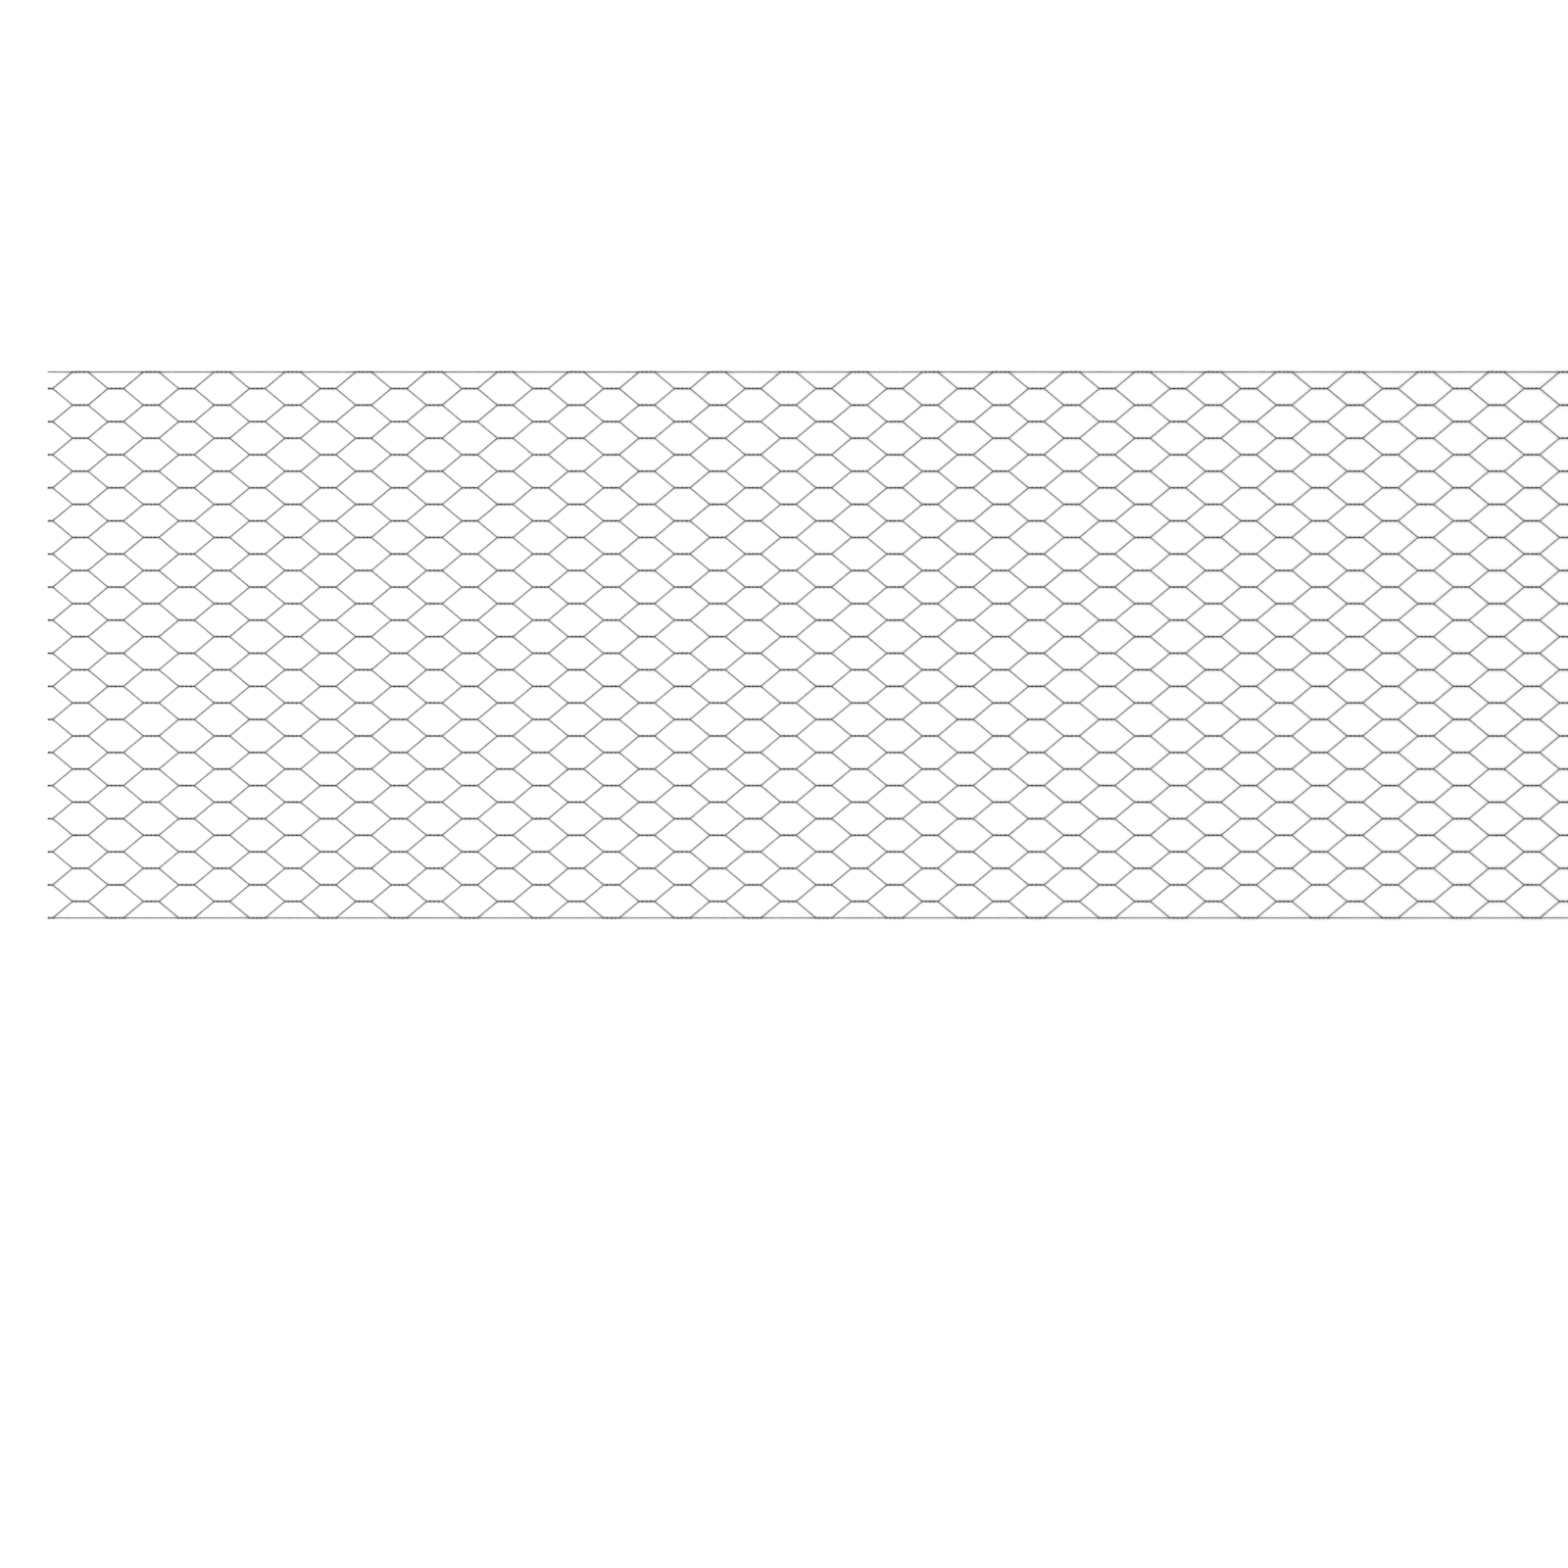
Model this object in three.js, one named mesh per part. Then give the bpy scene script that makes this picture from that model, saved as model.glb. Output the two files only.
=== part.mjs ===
// A two-metre length of hexagonal wire netting (chicken wire), lying flat.
//
// The netting is woven from wires that all run along it, in +X. Each mesh wire zigzags inside its
// own strip and is twisted in turn with the wire above it and the wire below it. A row is a line
// of such twists. The outermost mesh wires are twisted with a straight selvage wire instead.
// Every wire is a solid of its own, and the two wires of a twist lie side by side. Their turns
// round each other are finer than these solids and are left out.
//
// Millimetres. +X runs along the netting, +Y across it, +Z up. The origin is the middle of the
// netting, on the level surface that it lies on.

import * as THREE from "three";

// The netting
const NET_WIDTH = 600; // over the two selvage wires
const SOLD_LENGTH = 2000; // the least length; the cut is made at the next twists past it
const MESH_WIRE_DIAMETER = 1.0;
const SELVAGE_WIRE_DIAMETER = 1.0;
const WIRE_CLEARANCE = 0.1; // between the two wires of a twist

// The mesh
const MESH_SIZE = 36.2; // across a cell, from twist to twist, before it is evened out
const TWIST_PITCH = 77.55; // from one twist to the next along a row
const TWIST_LENGTH = 18.3; // the straight run that two wires share
const CUT_STUB = 6.0; // what the cut leaves of the twists at the two ends

const SELVAGE_SIDES = 8;

// A twisted pair is two wires thick, and the netting rests on its twists.
const netThickness = 2 * MESH_WIRE_DIAMETER;

// Along the netting: whole twists in the rows that aren't cut at the ends. Every row has its
// twists half way between those of the next row, so there are twice as many columns of twists.
const twistsAlong = Math.ceil((SOLD_LENGTH - 2 * CUT_STUB + TWIST_LENGTH) / TWIST_PITCH);
const netLength = twistsAlong * TWIST_PITCH - TWIST_LENGTH + 2 * CUT_STUB;
const lastColumn = 2 * twistsAlong; // counted from 0 at the cut end

// Across the netting: the first and last rows are where an outermost mesh wire meets its
// selvage wire, and a whole number of mesh wires fills the width between them.
const firstRowY = NET_WIDTH / 2 - SELVAGE_WIRE_DIAMETER - WIRE_CLEARANCE / 2;
const meshWireCount = Math.round((2 * firstRowY) / (MESH_SIZE / 2));
const rowPitch = (2 * firstRowY) / meshWireCount;

// How far a mesh wire's centre line swings to each side of the middle of its strip.
const swing = rowPitch / 2 - (MESH_WIRE_DIAMETER + WIRE_CLEARANCE) / 2;

// Galvanized steel that has gone dull and dark grey.
function galvanizedWire() {
  return new THREE.MeshStandardMaterial({ color: 0x6a6c6e, roughness: 0.45, metalness: 0.9 });
}

// The centre line of a wire that is bent in one level plane: straight runs between sharp bends.
class BentWire extends THREE.Curve {
  constructor(bends) {
    super();
    this.bends = bends;
  }

  // Steps from bend to bend, whatever the length of the run between them.
  getPointAt(share, target = new THREE.Vector3()) {
    return target.copy(this.bends[Math.round(share * (this.bends.length - 1))]);
  }

  // The section stands in the mitre plane of each bend, widened there so that the runs on both
  // sides keep the wire's width.
  computeFrenetFrames() {
    const up = new THREE.Vector3(0, 0, 1);
    const runs = this.bends
      .slice(1)
      .map((bend, i) => bend.clone().sub(this.bends[i]).normalize());
    const tangents = this.bends.map((_, i) => {
      const before = runs[Math.max(i - 1, 0)];
      const after = runs[Math.min(i, runs.length - 1)];
      return before.clone().add(after).normalize();
    });
    const binormals = tangents.map((tangent, i) => {
      const widening = 1 / tangent.dot(runs[Math.min(i, runs.length - 1)]);
      return tangent.clone().cross(up).multiplyScalar(widening);
    });
    return { tangents, normals: tangents.map(() => up), binormals };
  }
}

// The bends of a mesh wire that is cut in a twist with its lower neighbour at both ends.
function zigzagBends() {
  const bends = [new THREE.Vector3(-netLength / 2, -swing, 0)];
  for (let column = 0; column <= lastColumn; column++) {
    const twistX = ((column - lastColumn / 2) * TWIST_PITCH) / 2;
    const y = column % 2 === 0 ? -swing : swing;
    if (column > 0) {
      bends.push(new THREE.Vector3(twistX - TWIST_LENGTH / 2, y, 0));
    }
    if (column < lastColumn) {
      bends.push(new THREE.Vector3(twistX + TWIST_LENGTH / 2, y, 0));
    }
  }
  bends.push(new THREE.Vector3(netLength / 2, -swing, 0));
  return bends;
}

// A mesh wire on the level surface: as wide as the wire, as thick as the netting, and three-sided
// with its flat side down. The first coordinate of the section is height, the second is width.
function meshWireGeometry() {
  const section = new THREE.Shape([
    new THREE.Vector2(0, -MESH_WIRE_DIAMETER / 2),
    new THREE.Vector2(0, MESH_WIRE_DIAMETER / 2),
    new THREE.Vector2(netThickness, 0),
  ]);
  const bends = zigzagBends();
  return new THREE.ExtrudeGeometry(section, {
    steps: bends.length - 1,
    extrudePath: new BentWire(bends),
  });
}

// A straight wire along the edge, with flat facets facing up, down and to both sides.
function selvageWireGeometry() {
  const halfFacet = Math.PI / SELVAGE_SIDES;
  const cornerRadius = SELVAGE_WIRE_DIAMETER / 2 / Math.cos(halfFacet);
  return new THREE.CylinderGeometry(
    cornerRadius,
    cornerRadius,
    netLength,
    SELVAGE_SIDES,
    1,
    false,
    halfFacet,
  ).rotateZ(Math.PI / 2);
}

// Neighbouring mesh wires are the same wire turned half round, so that their twists meet.
function meshWires() {
  const geometry = meshWireGeometry();
  const wires = new THREE.Group();
  for (let i = 0; i < meshWireCount; i++) {
    const wire = new THREE.Mesh(geometry, galvanizedWire());
    wire.name = "mesh_wire_" + String(i + 1).padStart(2, "0");
    wire.position.y = firstRowY - (i + 0.5) * rowPitch;
    wire.rotation.z = i % 2 === 0 ? 0 : Math.PI;
    wires.add(wire);
  }
  return wires;
}

// The selvage wires lie outside the first and last rows, half way up the twists that carry them.
function selvageWires() {
  const geometry = selvageWireGeometry();
  const wires = new THREE.Group();
  for (const [edge, side] of Object.entries({ upper: 1, lower: -1 })) {
    const wire = new THREE.Mesh(geometry, galvanizedWire());
    wire.name = "selvage_wire_" + edge;
    wire.position.y = side * (NET_WIDTH / 2 - SELVAGE_WIRE_DIAMETER / 2);
    wire.position.z = netThickness / 2;
    wires.add(wire);
  }
  return wires;
}

const netting = new THREE.Group();
netting.add(meshWires(), selvageWires());

export default netting;
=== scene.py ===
"""The looks of a flat length of hexagonal wire netting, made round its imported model.

Every wire is swept along its real path: straight slants from row to row, rounded bends, and full
turns round its neighbour in each twist. Metres, in the model's frame: +X runs along the netting,
+Y across it and +Z up. A column is a line of twists across the netting, counted from its cut end.
"""

import logging
import math
from dataclasses import dataclass, field
from enum import Enum
from typing import Any

import bpy
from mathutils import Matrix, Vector

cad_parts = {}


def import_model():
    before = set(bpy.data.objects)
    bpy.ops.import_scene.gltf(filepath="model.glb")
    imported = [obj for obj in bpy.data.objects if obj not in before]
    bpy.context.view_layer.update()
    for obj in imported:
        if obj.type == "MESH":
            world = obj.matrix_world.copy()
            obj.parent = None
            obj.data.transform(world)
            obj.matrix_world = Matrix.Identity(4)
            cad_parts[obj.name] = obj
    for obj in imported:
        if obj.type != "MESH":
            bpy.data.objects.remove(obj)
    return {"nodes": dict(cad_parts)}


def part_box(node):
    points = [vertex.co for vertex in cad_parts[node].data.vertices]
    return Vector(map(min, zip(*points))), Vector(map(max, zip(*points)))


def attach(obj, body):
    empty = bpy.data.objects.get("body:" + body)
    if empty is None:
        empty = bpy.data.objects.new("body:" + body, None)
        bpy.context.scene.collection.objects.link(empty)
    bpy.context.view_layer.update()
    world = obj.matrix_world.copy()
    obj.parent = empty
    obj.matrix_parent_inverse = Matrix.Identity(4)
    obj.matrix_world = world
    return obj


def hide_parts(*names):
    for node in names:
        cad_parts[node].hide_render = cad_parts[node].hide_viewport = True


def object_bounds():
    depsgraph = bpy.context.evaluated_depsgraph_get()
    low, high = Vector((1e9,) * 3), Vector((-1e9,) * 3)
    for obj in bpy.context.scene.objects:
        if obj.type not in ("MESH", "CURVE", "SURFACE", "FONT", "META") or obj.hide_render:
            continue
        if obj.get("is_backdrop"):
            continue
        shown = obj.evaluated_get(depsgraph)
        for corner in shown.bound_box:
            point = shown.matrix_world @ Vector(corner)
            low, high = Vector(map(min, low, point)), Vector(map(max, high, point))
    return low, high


log = logging.getLogger("netting")

BODY = "root"
WIRE_SPACE = "wire_space"  # the attribute that holds each point's place along and across its wire
CUT_SPARE = 1e-5  # how far past a cut a point may lie and still be kept, in metres
NODE_SPACING = 200  # between the nodes of a tree, as they are laid out
AHEAD = Vector((1, 0, 0))  # along the netting

Colour = tuple[float, float, float, float]


class RowSide(Enum):
    """The side of a row from which a wire comes into a twist, as an angle round the row."""

    UPPER = 0.0
    LOWER = math.pi


class Column(Enum):
    """A kind of column, as the way its wires turn: the twisters turn one way and then back."""

    EVEN = 1
    ODD = -1


@dataclass(frozen=True)
class NettingSizes:
    """The netting's sizes, in metres. Those that the frame shows come from it."""

    half_length: float
    strip_pitch: float  # from one row of twists to the next
    wire_diameter: float
    twist_height: float  # of the twists' axis over the floor
    twist_pitch: float = 0.07755  # from one twist to the next along a row
    twist_length: float = 0.0183
    turns: int = 2  # full turns in a twist

    @classmethod
    def from_frame(cls) -> "NettingSizes":
        """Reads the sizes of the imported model.

        Returns:
            The sizes, with the mesh's own left at their defaults.
        """
        first, second = (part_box(f"mesh_wire_{number:02d}") for number in (1, 2))
        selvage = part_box("selvage_wire_upper")
        return cls(
            half_length=first[1].x,
            strip_pitch=first[1].y - second[1].y,
            wire_diameter=selvage[1].z - selvage[0].z,
            twist_height=first[1].z / 2,
        )

    @property
    def repeats(self) -> int:
        """How many whole repeats it takes to reach past both cut ends."""
        return math.ceil(2 * self.half_length / self.twist_pitch)

    @property
    def first_column(self) -> float:
        """Where the twists of column 0 have their middle, just beyond the cut end."""
        return -self.repeats * self.twist_pitch / 2

    @property
    def cut(self) -> float:
        """How far past the middle of its twists the end was cut."""
        return -self.half_length - self.first_column


@dataclass
class WireRoute:
    """The centre line of a wire over half a repeat, gathered point by point from column 0.

    Across and up are measured from the middle of the wire's strip, or from its row if it is a
    selvage wire.
    """

    sizes: NettingSizes
    bend_reach: float = 0.0012  # how far a bend reaches into the runs on both sides of it
    bend_steps: int = 4
    twist_step: float = 0.00067  # the longest straight step in a twist
    points: list[Vector] = field(default_factory=list)

    def line_to(self, end: Vector) -> None:
        """Goes straight to a point.

        Args:
            end: The point to go to.
        """
        self.points.append(end)

    def bend_to(self, heading: Vector, end: Vector, end_heading: Vector) -> None:
        """Goes to a point on a smooth bend.

        Args:
            heading: The direction in which the wire leaves the last point.
            end: The point to go to.
            end_heading: The direction in which the wire arrives there.
        """
        start = self.points[-1]
        handle = (end - start).length / 3
        controls = (
            start,
            start + heading.normalized() * handle,
            end - end_heading.normalized() * handle,
            end,
        )
        for step in range(1, self.bend_steps + 1):
            t = step / self.bend_steps
            weights = ((1 - t) ** 3, 3 * t * (1 - t) ** 2, 3 * t * t * (1 - t), t**3)
            self.points.append(sum((c * w for c, w in zip(controls, weights)), Vector()))

    def in_twist(self, middle: Vector, side: RowSide, column: Column, along: float) -> Vector:
        """Finds a point of the wire in a twist.

        Args:
            middle: The middle of the twist, on its row.
            side: Where the wire comes in from.
            column: The twist's column.
            along: How far the point is past the middle.

        Returns:
            The point on the wire's centre line.
        """
        angle = side.value + self._turned(column, along)
        radius = self.sizes.wire_diameter / 2
        return middle + Vector((along, radius * math.cos(angle), radius * math.sin(angle)))

    def twist_heading(self, side: RowSide, column: Column, along: float) -> Vector:
        """Finds the direction of the wire at a point in a twist.

        Args:
            side: Where the wire comes in from.
            column: The twist's column.
            along: How far the point is past the middle of the twist.

        Returns:
            The direction, with its part along the netting equal to 1.
        """
        angle = side.value + self._turned(column, along)
        rise = column.value * math.pi * self.sizes.turns / self.sizes.twist_length
        swing = rise * self.sizes.wire_diameter
        return Vector((1, -swing * math.sin(angle), swing * math.cos(angle)))

    def twist_through(
        self, middle: Vector, side: RowSide, column: Column, stops: tuple[float, ...]
    ) -> None:
        """Follows the turns of a twist.

        Args:
            middle: The middle of the twist, on its row.
            side: Where the wire comes in from.
            column: The twist's column.
            stops: Distances past the middle that get a point of their own, first to last.
        """
        if not self.points:
            self.points.append(self.in_twist(middle, side, column, stops[0]))
        for start, end in zip(stops, stops[1:]):
            steps = math.ceil((end - start) / self.twist_step)
            for step in range(1, steps + 1):
                along = start + (end - start) * step / steps
                self.points.append(self.in_twist(middle, side, column, along))

    def whole_repeat(self) -> list[Vector]:
        """Follows the gathered half with the same half turned half round.

        Returns:
            The points of the first repeat in place, without the one that starts the next.
        """
        pitch = self.sizes.twist_pitch
        back = [Vector((pitch - p.x, p.y, -p.z)) for p in reversed(self.points[1:-1])]
        start = Vector((self.sizes.first_column, 0, 0))
        return [start + p for p in self.points + back]

    def _turned(self, column: Column, along: float) -> float:
        """The angle that a wire has turned since it came into a twist."""
        share = along / self.sizes.twist_length + 0.5
        return column.value * 2 * math.pi * self.sizes.turns * share


class NodeBoard:
    """Adds nodes to a tree from left to right and links them by the names of their sockets."""

    def __init__(self, tree: bpy.types.NodeTree) -> None:
        """Starts on an empty tree.

        Args:
            tree: The tree to fill.
        """
        self.tree = tree
        tree.nodes.clear()

    def add(self, kind: str, inputs: dict[str | int, Any] | None = None, **settings: Any) -> Any:
        """Adds a node.

        Args:
            kind: The node's type in Blender.
            inputs: What goes into each input, by name or number: a value, or another node's
                output.
            settings: The node's own settings.

        Returns:
            The node.
        """
        node = self.tree.nodes.new(kind)
        node.location.x = NODE_SPACING * len(self.tree.nodes)
        for name, value in settings.items():
            setattr(node, name, value)
        for name, value in (inputs or {}).items():
            socket = node.inputs[name]
            if isinstance(value, bpy.types.NodeSocket):
                self.tree.links.new(value, socket)
            else:
                socket.default_value = value
        return node


class LaidWire:
    """A Geometry Nodes tree that lays repeats of a wire end to end and gives it its thickness."""

    def __init__(self) -> None:
        """Builds the tree."""
        self.tree = bpy.data.node_groups.new("laid_wire", "GeometryNodeTree")
        self.board = NodeBoard(self.tree)
        self._state_sockets()
        self.given = self.board.add("NodeGroupInput")
        wire = self._swept(self._trimmed(self._repeated()))
        placed = self.board.add(
            "GeometryNodeTransform",
            {
                "Geometry": wire,
                "Translation": self.given.outputs["Middle"],
                "Rotation": self.given.outputs["Turn"],
            },
        )
        realized = self.board.add(
            "GeometryNodeRealizeInstances", {"Geometry": placed.outputs["Geometry"]}
        )
        finished = self.board.add(
            "GeometryNodeSetMaterial",
            {"Geometry": realized.outputs["Geometry"], "Material": self.given.outputs["Finish"]},
        )
        self.board.add("NodeGroupOutput", {"Geometry": finished.outputs["Geometry"]})

    def lay(self, name: str, repeat: list[Vector], inputs: dict[str, Any]) -> bpy.types.Object:
        """Makes one wire as a plain mesh.

        Args:
            name: The piece's name.
            repeat: The centre line of the wire's first repeat.
            inputs: The tree's inputs, by name.

        Returns:
            The wire, at the origin, with its place in its mesh.
        """
        line = bpy.data.meshes.new(name)
        line.from_pydata(repeat, [(i, i + 1) for i in range(len(repeat) - 1)], [])
        piece = bpy.data.objects.new(name, line)
        bpy.context.scene.collection.objects.link(piece)
        modifier = piece.modifiers.new("laid_wire", "NODES")
        modifier.node_group = self.tree
        for socket in self.tree.interface.items_tree:
            if socket.name in inputs:
                modifier[socket.identifier] = inputs[socket.name]
        evaluated = piece.evaluated_get(bpy.context.evaluated_depsgraph_get())
        mesh = bpy.data.meshes.new_from_object(evaluated)
        piece.modifiers.remove(modifier)
        piece.data = mesh
        bpy.data.meshes.remove(line)
        mesh.name = name
        return piece

    def _state_sockets(self) -> None:
        """Names the tree's inputs and its output."""
        sockets = {
            "Geometry": "NodeSocketGeometry",
            "Repeats": "NodeSocketInt",
            "Pitch": "NodeSocketFloat",
            "Half Length": "NodeSocketFloat",
            "Wire Diameter": "NodeSocketFloat",
            "Facets": "NodeSocketInt",
            "Pattern Start": "NodeSocketFloat",
            "Middle": "NodeSocketVector",
            "Turn": "NodeSocketRotation",
            "Finish": "NodeSocketMaterial",
        }
        for name, kind in sockets.items():
            self.tree.interface.new_socket(name=name, in_out="INPUT", socket_type=kind)
        self.tree.interface.new_socket(
            name="Geometry", in_out="OUTPUT", socket_type="NodeSocketGeometry"
        )

    def _repeated(self) -> bpy.types.NodeSocket:
        """Lays the first repeat's points end to end as one line, a pitch further each time."""
        add, given = self.board.add, self.given.outputs
        size = add("GeometryNodeAttributeDomainSize", {"Geometry": given["Geometry"]})
        each = size.outputs["Point Count"]
        whole = add(
            "FunctionNodeIntegerMath",
            {0: given["Repeats"], 1: each, 2: 1},
            operation="MULTIPLY_ADD",
        )
        line = add("GeometryNodeMeshLine", {"Count": whole.outputs[0]})
        index = add("GeometryNodeInputIndex").outputs[0]
        within = add("FunctionNodeIntegerMath", {0: index, 1: each}, operation="MODULO")
        laid = add("FunctionNodeIntegerMath", {0: index, 1: each}, operation="DIVIDE_FLOOR")
        place = add("GeometryNodeInputPosition").outputs[0]
        sample = add(
            "GeometryNodeSampleIndex",
            {"Geometry": given["Geometry"], "Value": place, "Index": within.outputs[0]},
            data_type="FLOAT_VECTOR",
        )
        further = add(
            "ShaderNodeMath", {0: laid.outputs[0], 1: given["Pitch"]}, operation="MULTIPLY"
        )
        shift = add("ShaderNodeCombineXYZ", {"X": further.outputs[0]})
        set_place = add(
            "GeometryNodeSetPosition",
            {
                "Geometry": line.outputs["Mesh"],
                "Position": sample.outputs["Value"],
                "Offset": shift.outputs[0],
            },
        )
        return set_place.outputs["Geometry"]

    def _trimmed(self, line: bpy.types.NodeSocket) -> bpy.types.NodeSocket:
        """Takes away what lies beyond the two cuts."""
        add = self.board.add
        place = add("GeometryNodeInputPosition").outputs[0]
        along = add("ShaderNodeSeparateXYZ", {0: place}).outputs["X"]
        distance = add("ShaderNodeMath", {0: along}, operation="ABSOLUTE")
        half_length = self.given.outputs["Half Length"]
        limit = add("ShaderNodeMath", {0: half_length, 1: CUT_SPARE}, operation="ADD")
        beyond = add(
            "FunctionNodeCompare",
            {0: distance.outputs[0], 1: limit.outputs[0]},
            operation="GREATER_THAN",
        )
        kept = add(
            "GeometryNodeDeleteGeometry", {"Geometry": line, "Selection": beyond.outputs[0]}
        )
        return kept.outputs["Geometry"]

    def _swept(self, line: bpy.types.NodeSocket) -> bpy.types.NodeSocket:
        """Sweeps the round section along the line, and keeps where on the wire each point is."""
        add, given = self.board.add, self.given.outputs
        curve = add("GeometryNodeMeshToCurve", {"Mesh": line})
        length = add("GeometryNodeSplineParameter").outputs["Length"]
        run = self._captured("Run", "FLOAT", length, curve.outputs["Curve"])
        radius = add(
            "ShaderNodeMath", {0: given["Wire Diameter"], 1: 2.0}, operation="DIVIDE"
        )
        section = add(
            "GeometryNodeCurvePrimitiveCircle",
            {"Resolution": given["Facets"], "Radius": radius.outputs[0]},
        )
        place = add("GeometryNodeInputPosition").outputs[0]
        rim = self._captured("Rim", "VECTOR", place, section.outputs["Curve"])
        swept = add(
            "GeometryNodeCurveToMesh",
            {
                "Curve": run.outputs["Geometry"],
                "Profile Curve": rim.outputs["Geometry"],
                "Fill Caps": True,
            },
        )
        along = add(
            "ShaderNodeMath",
            {0: run.outputs["Run"], 1: given["Pattern Start"]},
            operation="ADD",
        )
        across = add("ShaderNodeSeparateXYZ", {0: rim.outputs["Rim"]})
        on_wire = add(
            "ShaderNodeCombineXYZ",
            {"X": along.outputs[0], "Y": across.outputs["X"], "Z": across.outputs["Y"]},
        )
        stored = add(
            "GeometryNodeStoreNamedAttribute",
            {
                "Geometry": self._squared_off(swept.outputs["Mesh"]),
                "Name": WIRE_SPACE,
                "Value": on_wire.outputs[0],
            },
            data_type="FLOAT_VECTOR",
            domain="POINT",
        )
        return stored.outputs["Geometry"]

    def _captured(
        self, name: str, kind: str, value: bpy.types.NodeSocket, curve: bpy.types.NodeSocket
    ) -> Any:
        """Keeps a value of a curve's points under a name, for the mesh that is made from it."""
        capture = self.board.add("GeometryNodeCaptureAttribute")
        capture.capture_items.new(kind, name)
        self.tree.links.new(curve, capture.inputs["Geometry"])
        self.tree.links.new(value, capture.inputs[name])
        return capture

    def _squared_off(self, wire: bpy.types.NodeSocket) -> bpy.types.NodeSocket:
        """Squares off the two ends, which a twist leaves slanting, at the cuts."""
        add, limit = self.board.add, self.given.outputs["Half Length"]
        place = add("ShaderNodeSeparateXYZ", {0: add("GeometryNodeInputPosition").outputs[0]})
        other_limit = add("ShaderNodeMath", {0: limit, 1: -1.0}, operation="MULTIPLY")
        along = add(
            "ShaderNodeClamp",
            {"Value": place.outputs["X"], "Min": other_limit.outputs[0], "Max": limit},
        )
        squared = add(
            "ShaderNodeCombineXYZ",
            {"X": along.outputs[0], "Y": place.outputs["Y"], "Z": place.outputs["Z"]},
        )
        return add(
            "GeometryNodeSetPosition", {"Geometry": wire, "Position": squared.outputs[0]}
        ).outputs["Geometry"]


@dataclass(frozen=True)
class DullGalvanizing:
    """Galvanized wire whose zinc has gone dull and dark grey, mottled, and bright where rubbed."""

    dark: Colour = (0.026, 0.026, 0.027, 1.0)
    light: Colour = (0.12, 0.12, 0.123, 1.0)
    rubbed: Colour = (0.34, 0.34, 0.35, 1.0)
    dark_level: float = 0.42  # the levels of the pattern that have these three tones
    light_level: float = 0.6
    rubbed_level: float = 0.68
    streak_share: float = 0.4  # how much of the pattern is streaks; the rest is patches
    metallic: float = 0.85
    smoothest: float = 0.28
    roughest: float = 0.62
    smooth_level: float = 0.4  # the levels of the patches that are the smoothest and roughest
    rough_level: float = 0.6
    patches_per_metre: float = 420.0
    patch_detail: float = 4.0
    patch_breakup: float = 0.6
    streaks_per_metre: float = 120.0  # along the wire
    lines_per_metre: float = 5200.0  # across it
    streak_detail: float = 3.0
    streak_breakup: float = 0.55
    grain_depth: float = 0.00003
    grain_strength: float = 0.8

    def material(self) -> bpy.types.Material:
        """Builds the material.

        Returns:
            The material, whose patterns follow each wire.
        """
        material = bpy.data.materials.new("dull_galvanizing")
        material.use_nodes = True
        board = NodeBoard(material.node_tree)
        patches = self._patches(board)
        streaks = self._streaks(board)
        pattern = board.add(
            "ShaderNodeMix",
            {"Factor": self.streak_share, "A": patches, "B": streaks},
            data_type="FLOAT",
        )
        tone = board.add("ShaderNodeValToRGB", {"Fac": pattern.outputs[0]})
        stops = tone.color_ramp.elements
        stops[0].position = self.dark_level
        stops[0].color = self.dark
        stops[1].position = self.light_level
        stops[1].color = self.light
        stops.new(self.rubbed_level).color = self.rubbed
        roughness = board.add(
            "ShaderNodeMapRange",
            {
                "Value": patches,
                "From Min": self.smooth_level,
                "From Max": self.rough_level,
                "To Min": self.smoothest,
                "To Max": self.roughest,
            },
        )
        bump = board.add(
            "ShaderNodeBump",
            {
                "Strength": self.grain_strength,
                "Distance": self.grain_depth,
                "Height": streaks,
            },
        )
        shader = board.add(
            "ShaderNodeBsdfPrincipled",
            {
                "Base Color": tone.outputs["Color"],
                "Metallic": self.metallic,
                "Roughness": roughness.outputs["Result"],
                "Normal": bump.outputs["Normal"],
            },
        )
        board.add("ShaderNodeOutputMaterial", {"Surface": shader.outputs[0]})
        return material

    def _patches(self, board: NodeBoard) -> bpy.types.NodeSocket:
        """Patches of brighter and duller zinc, a few millimetres long."""
        place = board.add("ShaderNodeTexCoord").outputs["Object"]
        return board.add(
            "ShaderNodeTexNoise",
            {
                "Vector": place,
                "Scale": self.patches_per_metre,
                "Detail": self.patch_detail,
                "Roughness": self.patch_breakup,
            },
        ).outputs[0]

    def _streaks(self, board: NodeBoard) -> bpy.types.NodeSocket:
        """Fine lines along the wire, left by the die that it was drawn through."""
        on_wire = board.add("ShaderNodeAttribute", attribute_name=WIRE_SPACE).outputs["Vector"]
        stretched = board.add(
            "ShaderNodeMapping",
            {
                "Vector": on_wire,
                "Scale": (self.streaks_per_metre, self.lines_per_metre, self.lines_per_metre),
            },
        )
        return board.add(
            "ShaderNodeTexNoise",
            {
                "Vector": stretched.outputs[0],
                "Scale": 1.0,
                "Detail": self.streak_detail,
                "Roughness": self.streak_breakup,
            },
        ).outputs[0]


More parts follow.
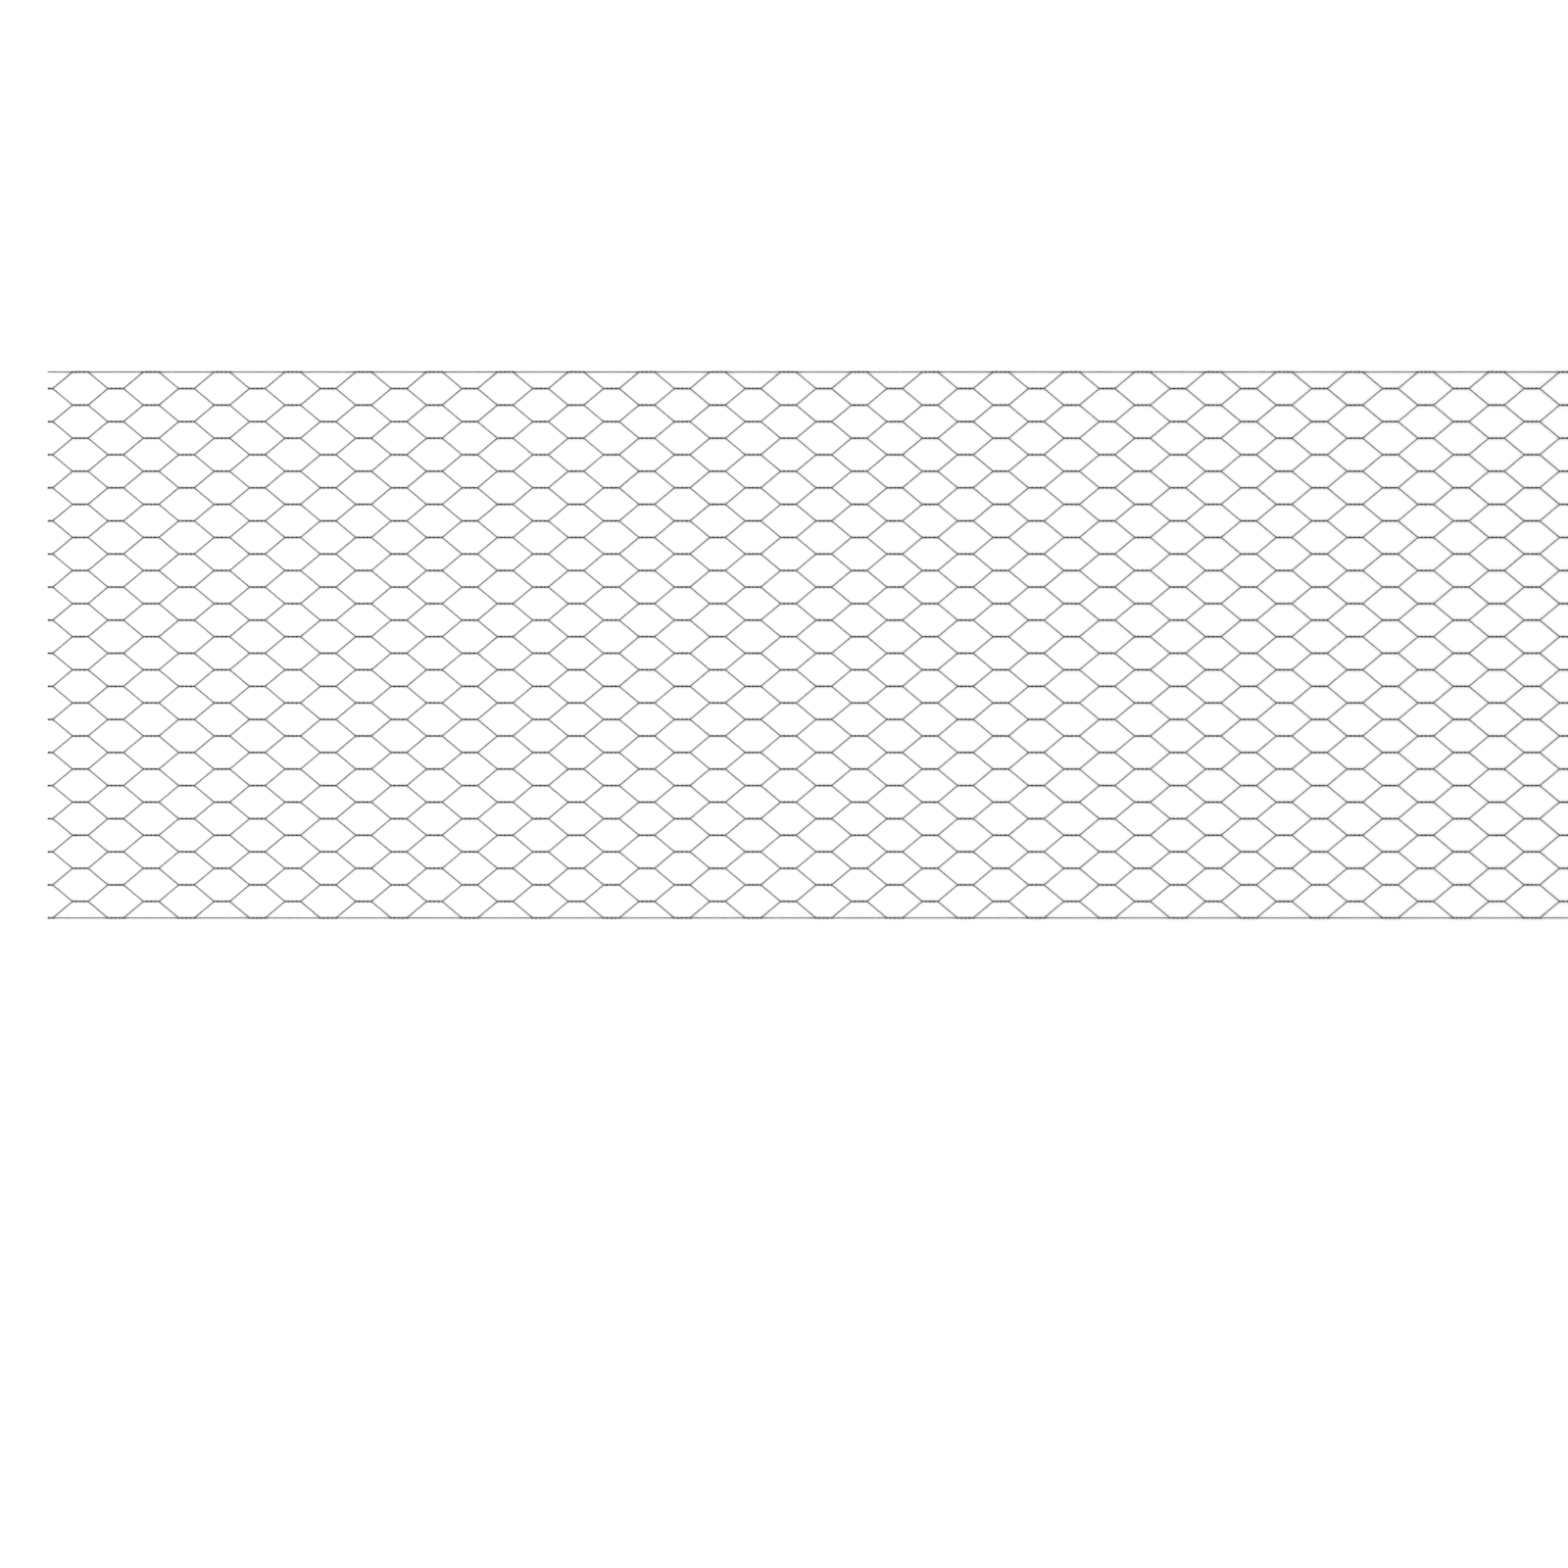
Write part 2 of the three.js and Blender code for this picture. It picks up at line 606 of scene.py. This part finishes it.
@dataclass
class Netting:
    """All the wires of the netting."""

    sizes: NettingSizes
    nodes: list[str]
    finish: bpy.types.Material
    facets: int = 8  # of a wire's round section
    lead: float = 0.0028  # how far outside a twist the selvage wire leaves its straight line
    pattern_step: float = 3.7  # sets each wire's pattern apart from the next one's
    laid_wire: LaidWire = field(default_factory=LaidWire)

    def build(self) -> list[bpy.types.Object]:
        """Makes every wire.

        Returns:
            The wires, from the upper edge to the lower edge, and then the selvage wires.
        """
        names = sorted(node for node in self.nodes if node.startswith("mesh_wire_"))
        mesh_wires = [self._mesh_wire(number, node) for number, node in enumerate(names)]
        upper_row = self._row_beyond(names[0], 1)
        lower_row = self._row_beyond(names[-1], -1)
        selvages = [
            self._selvage("upper", upper_row, self._upper_selvage_route()),
            self._selvage("lower", lower_row, self._lower_selvage_route()),
        ]
        return mesh_wires + selvages

    def _row_beyond(self, node: str, side: int) -> float:
        """Where the row of twists above (1) or below (-1) a mesh wire's strip lies."""
        low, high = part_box(node)
        return (low.y + high.y) / 2 + side * self.sizes.strip_pitch / 2

    def _mesh_wire(self, number: int, node: str) -> bpy.types.Object:
        """Lays a mesh wire. Every other one is turned half round, so that their twists meet."""
        low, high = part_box(node)
        turned = number % 2 == 1
        return self._finished(
            node.replace("mesh_wire", "twisted_mesh_wire"),
            node,
            self._mesh_route(),
            across=(low.y + high.y) / 2,
            turn=math.pi if turned else 0.0,
            pattern_start=number * self.pattern_step,
        )

    def _selvage(self, edge: str, row: float, route: WireRoute) -> bpy.types.Object:
        """Lays a selvage wire along its row."""
        return self._finished(
            f"twisted_selvage_wire_{edge}",
            f"selvage_wire_{edge}",
            route,
            across=row,
            turn=0.0,
            pattern_start=row,
        )

    def _finished(
        self,
        name: str,
        node: str,
        route: WireRoute,
        across: float,
        turn: float,
        pattern_start: float,
    ) -> bpy.types.Object:
        """Lays a wire, and lets it stand for its node.

        Args:
            name: The piece's name.
            node: The node that it stands for.
            route: The wire's centre line over half a repeat.
            across: Where the wire's strip or row lies across the netting.
            turn: How far the wire is turned about the netting's middle.
            pattern_start: Where on its finish's pattern the wire starts.

        Returns:
            The wire.
        """
        piece = self.laid_wire.lay(
            name,
            route.whole_repeat(),
            {
                "Repeats": self.sizes.repeats,
                "Pitch": self.sizes.twist_pitch,
                "Half Length": self.sizes.half_length,
                "Wire Diameter": self.sizes.wire_diameter,
                "Facets": self.facets,
                "Pattern Start": pattern_start,
                "Middle": (0.0, across, self.sizes.twist_height),
                "Turn": (0.0, 0.0, turn),
                "Finish": self.finish,
            },
        )
        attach(piece, BODY)
        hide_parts(node)
        return piece

    def _mesh_route(self) -> WireRoute:
        """The way of a mesh wire from a twist with its lower neighbour to one with its upper."""
        sizes, route = self.sizes, WireRoute(self.sizes)
        half_twist, reach = sizes.twist_length / 2, route.bend_reach
        low = Vector((0, -sizes.strip_pitch / 2, 0))
        high = Vector((sizes.twist_pitch / 2, sizes.strip_pitch / 2, 0))
        low_twist = (RowSide.UPPER, Column.EVEN)
        high_twist = (RowSide.LOWER, Column.ODD)
        foot = route.in_twist(low, *low_twist, half_twist)
        head = route.in_twist(high, *high_twist, -half_twist)
        slant = (head - foot).normalized()
        out, into = half_twist - reach, reach - half_twist

        route.twist_through(low, *low_twist, (0.0, sizes.cut, out))
        route.bend_to(route.twist_heading(*low_twist, out), foot + slant * reach, slant)
        route.line_to(head - slant * reach)
        route.bend_to(
            slant,
            route.in_twist(high, *high_twist, into),
            route.twist_heading(*high_twist, into),
        )
        route.twist_through(high, *high_twist, (into, 0.0))
        return route

    def _upper_selvage_route(self) -> WireRoute:
        """The way of the upper selvage wire from column 0, where it runs free, to a twist."""
        sizes, route = self.sizes, WireRoute(self.sizes)
        half_twist = sizes.twist_length / 2
        middle = Vector((sizes.twist_pitch / 2, 0, 0))
        twist = (RowSide.UPPER, Column.ODD)
        into = route.bend_reach - half_twist

        route.line_to(Vector((0, 0, 0)))
        route.line_to(AHEAD * sizes.cut)
        route.line_to(middle - AHEAD * (half_twist + self.lead))
        route.bend_to(
            AHEAD, route.in_twist(middle, *twist, into), route.twist_heading(*twist, into)
        )
        route.twist_through(middle, *twist, (into, 0.0))
        return route

    def _lower_selvage_route(self) -> WireRoute:
        """The way of the lower selvage wire from a twist at column 0 to where it runs free."""
        sizes, route = self.sizes, WireRoute(self.sizes)
        half_twist = sizes.twist_length / 2
        middle = Vector((0, 0, 0))
        twist = (RowSide.LOWER, Column.EVEN)
        out = half_twist - route.bend_reach

        route.twist_through(middle, *twist, (0.0, sizes.cut, out))
        route.bend_to(
            route.twist_heading(*twist, out), AHEAD * (half_twist + self.lead), AHEAD
        )
        route.line_to(AHEAD * sizes.twist_pitch / 2)
        return route


@dataclass(frozen=True)
class PaleFloor:
    """A plain, near-white matt floor, round so that its horizon is level from every side."""

    colour: Colour = (0.93, 0.93, 0.93, 1.0)
    roughness: float = 0.9
    gloss: float = 0.1
    radius: float = 60.0
    sides: int = 96

    def build(self) -> None:
        """Lays the floor, which is no part of the netting."""
        angles = [2 * math.pi * side / self.sides for side in range(self.sides)]
        rim = [(self.radius * math.cos(a), self.radius * math.sin(a), 0) for a in angles]
        mesh = bpy.data.meshes.new("floor")
        mesh.from_pydata(rim, [], [tuple(range(self.sides))])
        mesh.materials.append(self._material())
        floor = bpy.data.objects.new("floor", mesh)
        bpy.context.scene.collection.objects.link(floor)
        floor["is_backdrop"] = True

    def _material(self) -> bpy.types.Material:
        """The floor's matt finish."""
        material = bpy.data.materials.new("pale_floor")
        material.use_nodes = True
        board = NodeBoard(material.node_tree)
        shader = board.add(
            "ShaderNodeBsdfPrincipled",
            {
                "Base Color": self.colour,
                "Roughness": self.roughness,
                "Specular IOR Level": self.gloss,
            },
        )
        board.add("ShaderNodeOutputMaterial", {"Surface": shader.outputs[0]})
        return material


@dataclass(frozen=True)
class SoftStudio:
    """Even light from all round and one broad lamp, so that the wires cast hardly any shadow."""

    surround: float = 1.0
    surround_colour: Colour = (1.0, 1.0, 1.0, 1.0)
    lamp_power: float = 28.0
    lamp_side: float = 3.0
    lamp_place: tuple[float, float, float] = (-1.9, 0.0, 3.3)

    def build(self) -> None:
        """Lights the scene."""
        scene = bpy.context.scene
        scene.world = bpy.data.worlds.new("studio")
        scene.world.use_nodes = True
        board = NodeBoard(scene.world.node_tree)
        light = board.add(
            "ShaderNodeBackground",
            {"Color": self.surround_colour, "Strength": self.surround},
        )
        board.add("ShaderNodeOutputWorld", {"Surface": light.outputs[0]})
        lamp = bpy.data.lights.new("broad_lamp", "AREA")
        lamp.shape = "SQUARE"
        lamp.size = self.lamp_side
        lamp.energy = self.lamp_power
        holder = bpy.data.objects.new("broad_lamp", lamp)
        holder.location = self.lamp_place
        holder.rotation_mode = "QUATERNION"
        holder.rotation_quaternion = (-Vector(self.lamp_place)).to_track_quat("-Z", "Y")
        scene.collection.objects.link(holder)
        scene.view_settings.view_transform = "Standard"


@dataclass(frozen=True)
class OverheadCamera:
    """A camera straight above the netting that frames it as the photograph does."""

    sizes: NettingSizes
    net_width: float
    photo_side_px: float = 1600.0
    net_width_px: float = 558.9
    cut_end_px: float = 48.9  # from the photograph's left edge
    net_middle_px: float = 658.2  # from its top edge
    lens_mm: float = 50.0
    sensor_mm: float = 36.0

    def build(self) -> None:
        """Sets up the camera as the scene's own."""
        per_px = self.net_width / self.net_width_px
        half_px = self.photo_side_px / 2
        data = bpy.data.cameras.new("overhead")
        data.lens = self.lens_mm
        data.sensor_width = self.sensor_mm
        camera = bpy.data.objects.new("overhead", data)
        camera.location = (
            -self.sizes.half_length + (half_px - self.cut_end_px) * per_px,
            (self.net_middle_px - half_px) * per_px,
            self.photo_side_px * per_px * self.lens_mm / self.sensor_mm,
        )
        bpy.context.scene.collection.objects.link(camera)
        bpy.context.scene.camera = camera


def main() -> None:
    """Builds the netting, its floor, its light and its camera, and notes its size."""
    logging.basicConfig(level=logging.INFO, format="%(message)s")
    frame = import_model()
    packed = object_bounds()
    sizes = NettingSizes.from_frame()
    log.info("netting of %d repeats, cut %.2f mm in", sizes.repeats, sizes.cut * 1000)

    netting = Netting(sizes, list(frame["nodes"]), DullGalvanizing().material())
    for piece in netting.build():
        log.info("%s: %d faces", piece.name, len(piece.data.polygons))
    PaleFloor().build()
    SoftStudio().build()
    OverheadCamera(sizes, net_width=packed[1].y - packed[0].y).build()


if __name__ == "__main__":
    main()
